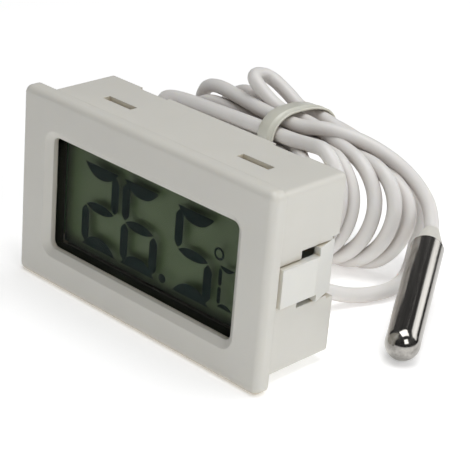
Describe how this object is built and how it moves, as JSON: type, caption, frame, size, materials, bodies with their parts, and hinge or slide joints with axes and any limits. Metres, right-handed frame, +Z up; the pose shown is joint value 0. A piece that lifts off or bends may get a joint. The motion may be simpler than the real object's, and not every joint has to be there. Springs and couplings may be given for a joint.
{
  "type": "digital panel thermometer",
  "caption": "Snap-in rectangular digital thermometer with a display window, side clips, and a steel sensor probe on a tied, coiled cord.",
  "frame": {"origin": "under the middle of the device, on the surface it stands on, centred in its width and depth", "axes": "+X to the right of the display as it is read, +Y from the display's face to its back, +Z up"},
  "size_m": [0.0722, 0.0517, 0.0286],
  "materials": {
    "housing": "satin ivory-white moulded ABS",
    "door": "satin ivory-white moulded ABS",
    "film": "clear polarising film",
    "lcd_glass": "clear display glass",
    "lcd_backing": "olive-green reflector",
    "zebra": "striped conductive rubber",
    "board": "green solder mask",
    "screw_steel": "zinc-plated",
    "resin": "black epoxy resin",
    "chip_black": "moulded",
    "chip_tan": "ceramic",
    "nickel": "nickel-plated spring strip",
    "cell_steel": "nickel-plated can",
    "cord": "white soft PVC jacket",
    "tie": "off-white plastic-coated wire tie",
    "wire": "insulated core",
    "collar": "nylon tie",
    "probe_steel": "mirror-polished stainless steel",
    "seal": "pale sealant",
    "filler": "potting resin"
  },
  "bodies": {
    "device": {"front_housing": "housing", "lcd_front_film": "film", "lcd_front_glass": "lcd_glass", "lcd_rear_glass": "lcd_glass", "lcd_reflector": "lcd_backing", "zebra_strip_upper": "zebra", "zebra_strip_lower": "zebra", "circuit_board": "board", "board_screws": "screw_steel", "chip_blob": "resin", "chip_resistors": "chip_black", "chip_capacitors": "chip_tan", "rear_cover": "housing", "positive_contact": "nickel", "negative_contact": "nickel", "button_cell_1": "cell_steel", "button_cell_2": "cell_steel", "cord_lead": "cord", "cord_coil": "cord", "twist_tie": "tie", "cord_tail": "cord", "sensor_wires": "wire", "cord_collar": "collar", "probe_sleeve": "probe_steel", "probe_seal": "seal", "probe_filler": "filler", "thermistor_bead": "resin", "thermistor_leads": "nickel"},
    "door": {"battery_door": "door", "bridge_contact": "nickel"},
    "left_clip": {"panel_clip_left": "housing"},
    "right_clip": {"panel_clip_right": "housing"}
  },
  "joints": [
    {"name": "door_pull", "type": "slide", "parent": "device", "child": "door", "axis": [0, 1, 0], "range_m": [0, 0.012]},
    {"name": "left_clip_flex", "type": "hinge", "parent": "device", "child": "left_clip", "pos_m": [-0.0216, 0.0066, 0.0143], "axis": [0, 0, 1], "range_deg": [0, 5], "stiffness_Nm_per_rad": 0.33},
    {"name": "right_clip_flex", "type": "hinge", "parent": "device", "child": "right_clip", "pos_m": [0.0216, 0.0066, 0.0143], "axis": [0, 0, -1], "range_deg": [0, 5], "stiffness_Nm_per_rad": 0.33}
  ]
}
